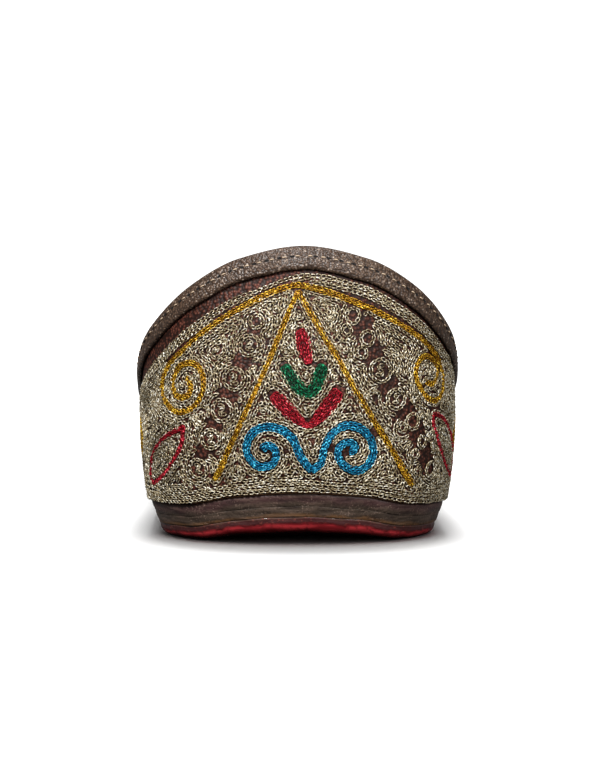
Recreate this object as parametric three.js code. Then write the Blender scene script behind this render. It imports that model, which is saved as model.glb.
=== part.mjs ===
// A straight-lasted mojari: a flat leather slip-on shoe with a stacked leather sole, a high rounded
// counter, a low side and a softly pointed toe. Millimetres, +Z up, +Y towards the toe.
// The heel's back faces -Y, and the origin is on the floor under the middle of the shoe.

import * as THREE from "three";
import { mergeVertices } from "three/addons/utils/BufferGeometryUtils.js";

// Driving sizes.
const middle = 123.1; // from the back of the heel seat to the origin
const heelCentre = 33; // centre that the heel's sections turn about, from the back of the seat
const toeCentre = 225; // centre that the toe's sections turn about
const toeRadius = 23.5;
const wall = 1.9; // leather and lining of the upper
const gap = 0.3; // between pieces that meet
const outsoleThickness = 2.8;
const midsoleThickness = 2.3;
const insoleThickness = 1.4;
const soleInset = 0.4; // the upper overhangs the sole's top edge by this much
const heelTaper = 2.9; // the sole's edge leans in by this much from top to bottom
const liftFront = 88; // where the heel lift has been skived away
const bindingThickness = 1.0;
const bindingOutside = 3.7; // depth of the binding on the outer face
const bindingInside = 4.5;
const bindingGap = 0.45; // more than the other gaps, because both faces curve two ways

// The last, one row for each section. `turn` rows fan about the heel's or the toe's centre, in degrees
// from straight back, and `y` rows cross the shoe that far from the back of the seat.
// foot: half width at the feather line. swell: how far the wall's lower handle leans out.
// crown: height of the last's ridge. rim: height where the wall is cut, up to the crown.
// lift: underside's height on the centre line. curl: extra height at the edge.
// stack: thickness of the whole sole there, gaps included.
const sections = [
  { turn: 0, foot: 33.0, swell: 11.0, crown: 100, rim: 63.4, lift: 0, curl: 3.8, stack: 7.8 },
  { turn: 25, foot: 34.0, swell: 10.5, crown: 100, rim: 60.7, lift: 0, curl: 2.7, stack: 7.8 },
  { turn: 45, foot: 35.4, swell: 9.5, crown: 100, rim: 54.6, lift: 0, curl: 0.5, stack: 7.8 },
  { turn: 65, foot: 35.0, swell: 8.5, crown: 100, rim: 46.4, lift: 0, curl: 0, stack: 7.8 },
  { turn: 90, foot: 33.7, swell: 8.0, crown: 100, rim: 37.3, lift: 0, curl: 0, stack: 7.8 },
  { y: 45, foot: 33.8, swell: 8.0, crown: 99, rim: 33.9, lift: 0, curl: 0, stack: 7.8 },
  { y: 60, foot: 33.9, swell: 7.5, crown: 97, rim: 31.8, lift: 0, curl: 0, stack: 7.8 },
  { y: 74, foot: 33.6, swell: 6.5, crown: 92, rim: 31.2, lift: 0.2, curl: 0, stack: 7.5 },
  { y: 88, foot: 33.4, swell: 6.0, crown: 86, rim: 31.3, lift: 1.1, curl: 0, stack: 6.4 },
  { y: 98, foot: 33.6, swell: 5.5, crown: 80.5, rim: 32.0, lift: 1.6, curl: 0, stack: 5.7 },
  { y: 120, foot: 35.2, swell: 5.0, crown: 69, rim: 35.2, lift: 0.6, curl: 0, stack: 5.7 },
  { y: 137, foot: 37.0, swell: 4.5, crown: 61, rim: 39.6, lift: 0, curl: 0, stack: 5.7 },
  { y: 150, foot: 38.0, swell: 4.2, crown: 55.8, rim: 44.6, lift: 0, curl: 0, stack: 5.7 },
  { y: 158, foot: 38.3, swell: 4.0, crown: 52.9, rim: 48.8, lift: 0, curl: 0, stack: 5.7 },
  { y: 163, foot: 38.4, swell: 4.0, crown: 51.2, rim: 51.2, lift: 0, curl: 0, stack: 5.7 },
  { y: 176, foot: 38.0, swell: 4.0, crown: 46.2, rim: 46.2, lift: 0, curl: 0, stack: 5.7 },
  { y: 192, foot: 35.8, swell: 3.8, crown: 39.8, rim: 39.8, lift: 0.7, curl: 0, stack: 5.7 },
  { y: 208, foot: 31.2, swell: 3.4, crown: 33.4, rim: 33.4, lift: 2.2, curl: 0.1, stack: 5.7 },
  { y: 225, foot: 23.5, swell: 2.8, crown: 27.0, rim: 27.0, lift: 4.6, curl: 0.3, stack: 5.7 },
  { turn: 115, foot: 19.4, swell: 2.2, crown: 27.0, rim: 27.0, lift: 4.6, curl: 1.6, stack: 5.7 },
  { turn: 140, foot: 18.4, swell: 1.6, crown: 27.0, rim: 27.0, lift: 4.6, curl: 4.0, stack: 5.7 },
  { turn: 160, foot: 20.6, swell: 1.2, crown: 27.0, rim: 27.0, lift: 4.6, curl: 6.4, stack: 5.7 },
  { turn: 180, foot: 24.0, swell: 0.8, crown: 27.0, rim: 27.0, lift: 4.6, curl: 8.6, stack: 5.7 },
];

// A section's place `s` is the way along the last's edge from the middle of the heel's back.
const heelEnd = heelCentre * Math.PI / 2;
const toeStart = heelEnd + toeCentre - heelCentre;
const toeEnd = toeStart + toeRadius * Math.PI / 2;

function placeOf({ turn, y }) {
  if (y !== undefined) return heelEnd + y - heelCentre;
  const angle = THREE.MathUtils.degToRad(turn);
  return turn <= 90 ? heelCentre * angle : toeStart + toeRadius * (angle - Math.PI / 2);
}

// A smooth curve through one column of the table that never overshoots its rows. The neighbours past
// both ends are mirrored, so the two halves of the shoe join without a crease.
function columnCurve(name) {
  const rows = sections.map((row) => [placeOf(row), row[name]]);
  rows.unshift([-rows[1][0], rows[1][1]]);
  rows.push([2 * toeEnd - rows.at(-2)[0], rows.at(-2)[1]]);
  const width = rows.slice(1).map(([s], i) => s - rows[i][0]);
  const slope = rows.slice(1).map(([, value], i) => (value - rows[i][1]) / width[i]);
  const tangent = rows.map((_, i) => {
    const before = slope[i - 1];
    const after = slope[i];
    if (before === undefined || after === undefined || before * after <= 0) return 0;
    const early = 2 * width[i] + width[i - 1];
    const late = width[i] + 2 * width[i - 1];
    return (early + late) / (early / before + late / after);
  });
  return (s) => {
    let i = rows.findIndex(([place]) => place > s) - 1;
    if (i < 0) i = rows.length - 2;
    const t = (s - rows[i][0]) / width[i];
    const left = (1 + 2 * t) * (1 - t) ** 2 * rows[i][1] + t * (1 - t) ** 2 * width[i] * tangent[i];
    const right = t * t * (3 - 2 * t) * rows[i + 1][1] + t * t * (t - 1) * width[i] * tangent[i + 1];
    return left + right;
  };
}

const curves = Object.fromEntries(
  ["foot", "swell", "crown", "rim", "lift", "curl", "stack"].map((name) => [name, columnCurve(name)]),
);

// The centre line's point and the outward direction that a section lies along.
function axisAt(s) {
  if (s < heelEnd) return { y: heelCentre, angle: s / heelCentre };
  if (s < toeStart) return { y: heelCentre + s - heelEnd, angle: Math.PI / 2 };
  return { y: toeCentre, angle: Math.PI / 2 + (s - toeStart) / toeRadius };
}

// A point of the shoe's right half, `reach` out from the centre line along section s.
function pointAt(s, reach, z) {
  const { y, angle } = axisAt(s);
  const x = reach * Math.sin(angle);
  return new THREE.Vector3(Math.abs(x) < 1e-6 ? 0 : x, y - reach * Math.cos(angle) - middle, z);
}

const ridgeStep = 0.5;
const toeSlope = (curves.crown(toeStart) - curves.crown(toeStart - ridgeStep)) / ridgeStep;
const crownShare = 0.6; // the upper handle's reach, as a share of the foot's half width
const wallShare = 0.5; // the lower handle's height, as a share of the way to the crown

const seatAt = (s) => curves.lift(s) + curves.curl(s) + curves.stack(s);

// The outer face of the whole last. t runs from the feather line, 0, to the ridge, 1.
function lastAt(s, t) {
  const foot = curves.foot(s);
  const seat = seatAt(s);
  const crown = curves.crown(s);
  const forward = -Math.cos(axisAt(s).angle);
  const droop = s > toeStart ? toeSlope * forward * crownShare * foot : 0;
  const bend = [(1 - t) ** 3, 3 * (1 - t) ** 2 * t, 3 * (1 - t) * t * t, t ** 3];
  const reach = bend[0] * foot + bend[1] * (foot + curves.swell(s)) + bend[2] * crownShare * foot;
  const low = seat + wallShare * (crown - seat);
  const z = bend[0] * seat + bend[1] * low + bend[2] * (crown + droop) + bend[3] * crown;
  return pointAt(s, reach, z);
}

function outward(s, t) {
  if (t > 0.9999) {
    const slope = s >= toeStart ? toeSlope : (curves.crown(s + 0.01) - curves.crown(s - 0.01)) / 0.02;
    return new THREE.Vector3(0, -slope, 1).normalize();
  }
  const step = 0.02;
  const along = lastAt(Math.min(s + step, toeEnd), t).sub(lastAt(Math.max(s - step, 0), t));
  const up = lastAt(s, Math.min(t + 1e-4, 1)).sub(lastAt(s, Math.max(t - 1e-4, 0)));
  const normal = along.cross(up).normalize();
  if (s < 1e-6 || s > toeEnd - 1e-6) normal.x = 0;
  return normal.normalize();
}

const faceAt = (s, t, offset) => lastAt(s, t).addScaledVector(outward(s, t), offset);

// Where the wall is cut: the share t at which section s reaches its rim.
function cutAt(s) {
  const rim = curves.rim(s);
  if (rim >= curves.crown(s) - 1e-6) return 1;
  let low = 0;
  let high = 1;
  for (let i = 0; i < 40; i++) {
    const t = (low + high) / 2;
    if (lastAt(s, t).z < rim) low = t;
    else high = t;
  }
  return low;
}

// Sections to build on: even steps, closer together where the throat's edge turns across the shoe.
const throat = placeOf({ y: 163 });
const throatBack = placeOf({ y: 128 });

function steps(from, to, count) {
  return Array.from({ length: count }, (_, i) => from + (to - from) * (i / count));
}

function throatSteps(count) {
  return steps(0, Math.PI / 2, count).map((a) => throatBack + (throat - throatBack) * Math.sin(a));
}

const places = [
  ...steps(0, heelEnd, 12),
  ...steps(heelEnd, throatBack, 9),
  ...throatSteps(8),
  ...steps(throat, toeStart, 7),
  ...steps(toeStart, toeEnd, 8),
  toeEnd,
];

// Gathers triangles and welds them into one closed shape. Each face is added with its mirror image.
class Shell {
  positions = [];

  triangle(a, b, c) {
    const flat = new THREE.Triangle(a, b, c).getArea() < 1e-7;
    if (flat) return;
    for (const p of [a, b, c]) this.positions.push(p.x, p.y, p.z);
    for (const p of [a, c, b]) this.positions.push(p.x === 0 ? 0 : -p.x, p.y, p.z);
  }

  quad(a, b, c, d) {
    this.triangle(a, b, c);
    this.triangle(a, c, d);
  }

  // Rows of points, with the face on the side that the right-hand rule gives from row to column.
  grid(rows) {
    for (let i = 0; i + 1 < rows.length; i++) {
      for (let j = 0; j + 1 < rows[i].length; j++) {
        this.quad(rows[i][j], rows[i + 1][j], rows[i + 1][j + 1], rows[i][j + 1]);
      }
    }
  }

  mesh(name, { color, roughness }) {
    const geometry = new THREE.BufferGeometry();
    geometry.setAttribute("position", new THREE.Float32BufferAttribute(this.positions, 3));
    const welded = mergeVertices(geometry, 1e-4);
    welded.computeVertexNormals();
    const material = new THREE.MeshStandardMaterial({ color, roughness, metalness: 0 });
    const made = new THREE.Mesh(welded, material);
    made.name = name;
    return made;
  }
}

// The sole's underside curls up behind the heel and in front of the toe. q is the share of the way
// from the centre line to the feather line, and past curlBend the curl carries on straight.
const curlStart = 0.3;
const curlBend = 0.82;

function curlShape(q) {
  const bent = Math.min(q, curlBend) - curlStart;
  return bent <= 0 ? 0 : bent * bent + 2 * bent * Math.max(0, q - curlBend);
}

const underside = (s, q) => curves.lift(s) + curves.curl(s) * curlShape(q) / curlShape(1);
const outsoleTop = (s, q) => underside(s, q) + outsoleThickness;
const midsoleTop = (s, q) => underside(s, q) + curves.stack(s) - gap;
const midsoleBottom = (s, q) => midsoleTop(s, q) - midsoleThickness;

// One layer of the sole. `top` and `bottom` are heights as above, and the insets put each face's
// outline inside the feather line. Every layer has its inner points over the same places.
const soleShares = [0, curlStart, 0.58, curlBend];

function layer(name, finish, { top, bottom, topInset, bottomInset, stations = places }) {
  const shell = new Shell();
  const face = (height, inset) => stations.map((s) => {
    const foot = curves.foot(s);
    return [...soleShares, 1 - inset / foot].map((q) => pointAt(s, q * foot, height(s, q)));
  });
  const upperFace = face(top, topInset);
  const lowerFace = face(bottom, bottomInset);
  shell.grid(upperFace.map((row) => [...row].reverse()));
  shell.grid(lowerFace);
  shell.grid(lowerFace.map((row, i) => [row.at(-1), upperFace[i].at(-1)]));
  if (stations.at(-1) < toeEnd) shell.grid([lowerFace.at(-1), upperFace.at(-1)]);
  return shell.mesh(name, finish);
}

const edgeLean = (height) => soleInset + heelTaper * (1 - height / curves.stack(0));

function outsole() {
  return layer("outsole", { color: 0x6e1a22, roughness: 0.45 }, {
    top: outsoleTop,
    bottom: underside,
    topInset: edgeLean(outsoleThickness),
    bottomInset: edgeLean(0),
  });
}

function heelLift() {
  const liftPlace = placeOf({ y: liftFront });
  const topHeight = curves.stack(0) - 2 * gap - midsoleThickness;
  return layer("heel_lift", { color: 0x4a3a30, roughness: 0.6 }, {
    top: (s, q) => midsoleBottom(s, q) - gap,
    bottom: (s, q) => outsoleTop(s, q) + gap,
    topInset: edgeLean(topHeight),
    bottomInset: edgeLean(outsoleThickness + gap),
    stations: [...places.filter((s) => s < liftPlace - 1), liftPlace],
  });
}

function midsole() {
  return layer("midsole", { color: 0x3e2c2a, roughness: 0.6 }, {
    top: midsoleTop,
    bottom: midsoleBottom,
    topInset: soleInset,
    bottomInset: edgeLean(curves.stack(0) - gap - midsoleThickness),
  });
}

function insole() {
  const clearance = 0.8; // room for the wall's lean between the insole's two faces
  return layer("insole", { color: 0x6b5648, roughness: 0.7 }, {
    top: (s, q) => midsoleTop(s, q) + gap + insoleThickness,
    bottom: (s, q) => midsoleTop(s, q) + gap,
    topInset: wall + clearance,
    bottomInset: wall + clearance,
  });
}

// The upper: one wall from the feather line to the topline, closed over the toe, open underneath.
const wallShares = [0, 0.1, 0.24, 0.4, 0.56, 0.72, 0.87, 1];

function upper() {
  const shell = new Shell();
  const face = (offset) => places.map((s) => {
    const cut = cutAt(s);
    return wallShares.map((share) => faceAt(s, share * cut, offset));
  });
  const outer = face(0);
  const inner = face(-wall);
  inner.forEach((row, i) => {
    row[0].z = midsoleTop(places[i], 1 - wall / curves.foot(places[i])) + gap;
  });
  shell.grid(outer);
  shell.grid(inner.map((row) => [...row].reverse()));
  shell.grid(outer.map((row, i) => [inner[i][0], row[0]]));
  const closed = places.findIndex((s) => s >= throat - 1e-6);
  const edge = outer.slice(0, closed + 1).map((row, i) => [row.at(-1), inner[i].at(-1)]);
  shell.grid(edge);
  return shell.mesh("upper", { color: 0x5a3a30, roughness: 0.55 });
}

// Walks over the last's outer face from (s, t) for a distance, always heading as `heading` does.
function walk(s, t, heading, distance) {
  const strides = 6;
  const nudge = 1e-3;
  for (let i = 0; i < strides; i++) {
    const here = lastAt(s, t);
    const alongS = lastAt(s + nudge, t).sub(here).divideScalar(nudge);
    const alongT = here.clone().sub(lastAt(s, t - nudge)).divideScalar(nudge);
    const flat = alongS.clone().cross(alongT);
    const stride = heading.clone().multiplyScalar(distance / strides);
    s += stride.clone().cross(alongT).dot(flat) / flat.lengthSq();
    t += alongS.clone().cross(stride).dot(flat) / flat.lengthSq();
    s = Math.max(s, 0);
    t = Math.min(t, 1);
  }
  return { s, t };
}

// The topline binding: a folded strip that sits over the wall's cut edge, outside and inside.
function binding() {
  const stations = places.filter((s) => s <= throat + 1e-6);
  const edge = stations.map((s) => lastAt(s, cutAt(s)));
  const mirrored = (point) => point.clone().setX(-point.x);
  const inside = -wall - bindingGap;
  const ring = stations.map((s, i) => {
    const cut = cutAt(s);
    const middleStation = i === 0 || i === stations.length - 1;
    const before = i === 0 ? mirrored(edge[1]) : edge[i - 1];
    const after = i === stations.length - 1 ? mirrored(edge[i - 1]) : edge[i + 1];
    const out = outward(s, cut);
    const down = after.clone().sub(before).cross(out).normalize();
    const legPoint = (offset, depth) => {
      const spot = walk(s, cut, down, depth);
      const point = faceAt(spot.s, spot.t, offset);
      if (middleStation) point.x = 0;
      return point;
    };
    const foldPoint = (offset, rise) => {
      const point = edge[i].clone().addScaledVector(out, offset).addScaledVector(down, -rise);
      if (middleStation) point.x = 0;
      return point;
    };
    return [
      legPoint(bindingGap, bindingOutside),
      legPoint(bindingGap + bindingThickness, bindingOutside),
      legPoint(bindingGap + bindingThickness, bindingOutside / 2),
      foldPoint(bindingGap + bindingThickness, 0),
      foldPoint(bindingGap, bindingGap + bindingThickness),
      foldPoint(inside, bindingGap + bindingThickness),
      foldPoint(inside - bindingThickness, 0),
      legPoint(inside - bindingThickness, bindingInside / 2),
      legPoint(inside - bindingThickness, bindingInside),
      legPoint(inside, bindingInside),
      legPoint(inside, bindingInside / 2),
      foldPoint(inside, bindingGap),
      foldPoint(bindingGap, bindingGap),
      legPoint(bindingGap, bindingOutside / 2),
      legPoint(bindingGap, bindingOutside),
    ];
  });
  const shell = new Shell();
  shell.grid(ring);
  return shell.mesh("topline_binding", { color: 0x7b6b62, roughness: 0.6 });
}

const shoe = new THREE.Group();
shoe.add(outsole(), heelLift(), midsole(), insole(), upper(), binding());

export default shoe;
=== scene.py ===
import bpy
import bmesh
import math
import numpy as np
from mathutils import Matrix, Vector


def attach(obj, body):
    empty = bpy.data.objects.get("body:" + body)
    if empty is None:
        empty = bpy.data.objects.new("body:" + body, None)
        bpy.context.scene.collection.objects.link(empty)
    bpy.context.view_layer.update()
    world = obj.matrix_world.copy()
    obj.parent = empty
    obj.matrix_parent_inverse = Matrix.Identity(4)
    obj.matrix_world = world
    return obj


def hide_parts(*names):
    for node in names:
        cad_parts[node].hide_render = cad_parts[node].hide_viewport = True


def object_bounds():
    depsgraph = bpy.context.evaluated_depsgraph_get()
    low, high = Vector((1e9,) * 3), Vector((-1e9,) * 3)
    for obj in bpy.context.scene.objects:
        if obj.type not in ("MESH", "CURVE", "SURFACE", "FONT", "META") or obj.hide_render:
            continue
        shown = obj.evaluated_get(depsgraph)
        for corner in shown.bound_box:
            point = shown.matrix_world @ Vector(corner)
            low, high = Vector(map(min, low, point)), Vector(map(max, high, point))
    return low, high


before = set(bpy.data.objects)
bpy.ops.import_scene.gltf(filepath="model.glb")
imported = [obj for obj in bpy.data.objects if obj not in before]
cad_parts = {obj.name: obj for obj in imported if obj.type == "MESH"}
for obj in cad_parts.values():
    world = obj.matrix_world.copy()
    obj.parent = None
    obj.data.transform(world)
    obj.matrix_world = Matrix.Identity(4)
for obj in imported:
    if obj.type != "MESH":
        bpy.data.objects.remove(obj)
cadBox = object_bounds()
rng = np.random.default_rng(7)
mm = 0.001
print("frame loaded")

# The last, in millimetres, with the same sections as the part's.
last = {
    "middle": 123.1,        # from the back of the heel seat to the origin
    "heelCentre": 33.0,
    "toeCentre": 225.0,
    "toeRadius": 23.5,
    "wall": 1.9,
    "gap": 0.3,
    "outsole": 2.8,
    "midsole": 2.3,
    "insole": 1.4,
    "soleInset": 0.4,
    "heelTaper": 2.9,
    "liftFront": 88.0,
    "crownShare": 0.6,
    "wallShare": 0.5,
    "curlStart": 0.3,
    "curlBend": 0.82,
    "lean": 0.9,            # the hand-cut counter's top sits this far to the right
    "leanFrom": 36.0,
    "leanTo": 60.0,
}

# place (degrees round the heel or toe, or mm along the foot), foot, swell, crown, rim, lift, curl, stack
sections = [
    ("turn", 0, 33.0, 11.0, 100, 63.4, 0, 3.8, 7.8),
    ("turn", 25, 34.0, 10.5, 100, 60.7, 0, 2.7, 7.8),
    ("turn", 45, 35.4, 9.5, 100, 54.6, 0, 0.5, 7.8),
    ("turn", 65, 35.0, 8.5, 100, 46.4, 0, 0, 7.8),
    ("turn", 90, 33.7, 8.0, 100, 37.3, 0, 0, 7.8),
    ("along", 45, 33.8, 8.0, 99, 33.9, 0, 0, 7.8),
    ("along", 60, 33.9, 7.5, 97, 31.8, 0, 0, 7.8),
    ("along", 74, 33.6, 6.5, 92, 31.2, 0.2, 0, 7.5),
    ("along", 88, 33.4, 6.0, 86, 31.3, 1.1, 0, 6.4),
    ("along", 98, 33.6, 5.5, 80.5, 32.0, 1.6, 0, 5.7),
    ("along", 120, 35.2, 5.0, 69, 35.2, 0.6, 0, 5.7),
    ("along", 137, 37.0, 4.5, 61, 39.6, 0, 0, 5.7),
    ("along", 150, 38.0, 4.2, 55.8, 44.6, 0, 0, 5.7),
    ("along", 158, 38.3, 4.0, 52.9, 48.8, 0, 0, 5.7),
    ("along", 163, 38.4, 4.0, 51.2, 51.2, 0, 0, 5.7),
    ("along", 176, 38.0, 4.0, 46.2, 46.2, 0, 0, 5.7),
    ("along", 192, 35.8, 3.8, 39.8, 39.8, 0.7, 0, 5.7),
    ("along", 208, 31.2, 3.4, 33.4, 33.4, 2.2, 0.1, 5.7),
    ("along", 225, 23.5, 2.8, 27.0, 27.0, 4.6, 0.3, 5.7),
    ("turn", 115, 19.4, 2.2, 27.0, 27.0, 4.6, 1.6, 5.7),
    ("turn", 140, 18.4, 1.6, 27.0, 27.0, 4.6, 4.0, 5.7),
    ("turn", 160, 20.6, 1.2, 27.0, 27.0, 4.6, 6.4, 5.7),
    ("turn", 180, 24.0, 0.8, 27.0, 27.0, 4.6, 8.6, 5.7),
]

heelEnd = last["heelCentre"] * math.pi / 2
toeStart = heelEnd + last["toeCentre"] - last["heelCentre"]
toeEnd = toeStart + last["toeRadius"] * math.pi / 2


def placeAlong(y):
    return heelEnd + y - last["heelCentre"]


def placeOf(kind, value):
    if kind == "along":
        return placeAlong(value)
    angle = math.radians(value)
    if value <= 90:
        return last["heelCentre"] * angle
    return toeStart + last["toeRadius"] * (angle - math.pi / 2)


def columnCurve(column):
    # a smooth curve through one column that never overshoots, mirrored past both ends
    place = np.array([placeOf(row[0], row[1]) for row in sections])
    value = np.array([row[column] for row in sections], float)
    place = np.concatenate([[-place[1]], place, [2 * toeEnd - place[-2]]])
    value = np.concatenate([[value[1]], value, [value[-2]]])
    width = np.diff(place)
    slope = np.diff(value) / width
    tangent = np.zeros(len(place))
    for i in range(1, len(place) - 1):
        before, after = slope[i - 1], slope[i]
        if before * after > 0:
            early = 2 * width[i] + width[i - 1]
            late = width[i] + 2 * width[i - 1]
            tangent[i] = (early + late) / (early / before + late / after)

    def curve(s):
        s = np.asarray(s, float)
        i = np.clip(np.searchsorted(place, s, side="right") - 1, 0, len(width) - 1)
        t = (s - place[i]) / width[i]
        low = (1 + 2 * t) * (1 - t) ** 2 * value[i] + t * (1 - t) ** 2 * width[i] * tangent[i]
        high = t * t * (3 - 2 * t) * value[i + 1] + t * t * (t - 1) * width[i] * tangent[i + 1]
        return low + high

    return curve


footAt, swellAt, crownAt, rimAt, liftAt, curlAt, stackAt = [columnCurve(c) for c in range(2, 9)]


def axisAt(s):
    y = np.clip(last["heelCentre"] + s - heelEnd, last["heelCentre"], last["toeCentre"])
    heel = s / last["heelCentre"]
    toe = math.pi / 2 + (s - toeStart) / last["toeRadius"]
    return y, np.where(s < heelEnd, heel, np.where(s < toeStart, math.pi / 2, toe))


def pointAt(s, reach, z):
    y, angle = axisAt(s)
    return np.stack([reach * np.sin(angle), y - reach * np.cos(angle), z + 0 * reach], -1)


def seatAt(s):
    return liftAt(s) + curlAt(s) + stackAt(s)


toeSlope = float(crownAt(toeStart) - crownAt(toeStart - 0.5)) / 0.5

# Soft creases over the toes, where a worn shoe would bend: along the foot, depth, half width.
creases = [(171.0, 0.35, 3.2), (181.0, 0.28, 3.6), (192.0, 0.18, 4.0)]


def lastPoint(s, t):
    # the outer face: t runs from the feather line, 0, to the ridge, 1
    s, t = np.broadcast_arrays(np.asarray(s, float), np.asarray(t, float))
    foot, seat, crown = footAt(s), seatAt(s), crownAt(s)
    forward = -np.cos(axisAt(s)[1])
    droop = np.where(s > toeStart, toeSlope * forward * last["crownShare"] * foot, 0)
    a, b, c, d = (1 - t) ** 3, 3 * (1 - t) ** 2 * t, 3 * (1 - t) * t * t, t ** 3
    reach = a * foot + b * (foot + swellAt(s)) + c * last["crownShare"] * foot
    low = seat + last["wallShare"] * (crown - seat)
    z = a * seat + b * low + c * (crown + droop) + d * crown
    return pointAt(s, reach, z)


def lastNormal(s, t):
    s, t = np.broadcast_arrays(np.asarray(s, float), np.asarray(t, float))
    step = 0.05
    along = lastPoint(np.minimum(s + step, toeEnd), t) - lastPoint(np.maximum(s - step, 0), t)
    up = lastPoint(s, np.minimum(t + 1e-3, 1)) - lastPoint(s, np.maximum(t - 1e-3, 0))
    normal = np.cross(along, up)
    ridge = (s >= toeStart) & (t > 0.998)
    normal[ridge] = (0, -toeSlope, 1)
    middleLine = (s < 1e-6) | (s > toeEnd - 1e-6) | (t > 0.9999)
    normal[..., 0] = np.where(middleLine, 0, normal[..., 0])
    return normal / np.linalg.norm(normal, axis=-1, keepdims=True)


def smoothStep(value, low, high):
    t = np.clip((value - low) / (high - low), 0, 1)
    return t * t * (3 - 2 * t)


def facePoint(side, t, offset):
    # side is s with a sign: the left half of the shoe is negative
    s = np.abs(side)
    point = lastPoint(s, t)
    y = point[..., 1]
    vampward = smoothStep(t, 0.35, 0.8)
    dent = sum(depth * np.exp(-((y - at - 0.004 * point[..., 0] ** 2) / wide) ** 2)
               for at, depth, wide in creases)
    offset = np.broadcast_to(offset, np.shape(y)) - np.where(s > heelEnd, dent * vampward, 0)
    point = point + lastNormal(s, t) * offset[..., None]
    point[..., 0] *= np.where(np.asarray(side) < 0, -1, 1)
    return point


def leanAt(z, y):
    share = smoothStep(z, last["leanFrom"], last["leanTo"])
    return last["lean"] * share * smoothStep(-y, -60, -15)


def toScene(points):
    # from the last's millimetres to the row's metres, with the counter's lean
    points = np.array(points, float)
    points[..., 0] += leanAt(points[..., 2], points[..., 1])
    points[..., 1] -= last["middle"]
    return points * mm


def tAtHeight(s, z):
    low, high = np.zeros(np.shape(s)), np.ones(np.shape(s))
    for _ in range(20):
        t = (low + high) / 2
        under = lastPoint(s, t)[..., 2] < z
        low, high = np.where(under, t, low), np.where(under, high, t)
    return (low + high) / 2


def cutAt(s):
    s = np.abs(np.asarray(s, float))
    cut = tAtHeight(s, rimAt(s))
    return np.where(rimAt(s) >= crownAt(s) - 1e-6, 1.0, cut)


throat = placeAlong(163)
throatBack = placeAlong(128)


def signedPlaces(end, heelSteps, sideSteps, throatSteps, vampSteps, toeSteps):
    turn = np.sin(np.linspace(0, math.pi / 2, throatSteps, endpoint=False))
    half = np.concatenate([
        np.linspace(0, heelEnd, heelSteps, endpoint=False),
        np.linspace(heelEnd, throatBack, sideSteps, endpoint=False),
        throatBack + (throat - throatBack) * turn,
        np.linspace(throat, toeStart, vampSteps, endpoint=False),
        np.linspace(toeStart, toeEnd, toeSteps),
    ])
    half = half[half <= end + 1e-6]
    if half[-1] < end - 1e-6:
        half = np.append(half, end)
    return np.concatenate([-half[:0:-1], half])


def addMesh(name, points, faces, materials, faceSlots=None, shares=None):
    mesh = bpy.data.meshes.new(name)
    mesh.from_pydata(points.tolist(), [], faces)
    if shares is not None:
        mesh.attributes.new("share", "FLOAT", "POINT").data.foreach_set("value", shares)
    for material in materials:
        mesh.materials.append(material)
    if faceSlots is not None:
        mesh.polygons.foreach_set("material_index", np.asarray(faceSlots, np.int32))
    mesh.polygons.foreach_set("use_smooth", np.ones(len(mesh.polygons), bool))
    piece = bpy.data.objects.new(name, mesh)
    bpy.context.scene.collection.objects.link(piece)
    work = bmesh.new()
    work.from_mesh(mesh)
    bmesh.ops.remove_doubles(work, verts=work.verts, dist=2e-6)
    bmesh.ops.dissolve_degenerate(work, edges=work.edges, dist=1e-6)
    bmesh.ops.recalc_face_normals(work, faces=work.faces)
    work.to_mesh(mesh)
    work.free()
    mesh.update()
    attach(piece, "root")
    return piece


def gridFaces(start, rows, columns, closedRows=False, closedColumns=False):
    faces = []
    for i in range(rows if closedRows else rows - 1):
        for j in range(columns if closedColumns else columns - 1):
            a = start + i * columns + j
            b = start + (i + 1) % rows * columns + j
            c = start + (i + 1) % rows * columns + (j + 1) % columns
            d = start + i * columns + (j + 1) % columns
            faces.append((a, b, c, d))
    return faces


class Wire:
    # one shader socket that can take part in sums
    def __init__(self, finish, socket):
        self.finish = finish
        self.socket = socket

    def sum(self, operation, first, second):
        return self.finish.node("ShaderNodeMath", {"operation": operation}, {0: first, 1: second})

    def __add__(self, other):
        return self.sum("ADD", self, other)

    def __radd__(self, other):
        return self.sum("ADD", other, self)

    def __sub__(self, other):
        return self.sum("SUBTRACT", self, other)

    def __rsub__(self, other):
        return self.sum("SUBTRACT", other, self)

    def __mul__(self, other):
        return self.sum("MULTIPLY", self, other)

    def __rmul__(self, other):
        return self.sum("MULTIPLY", other, self)


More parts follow.
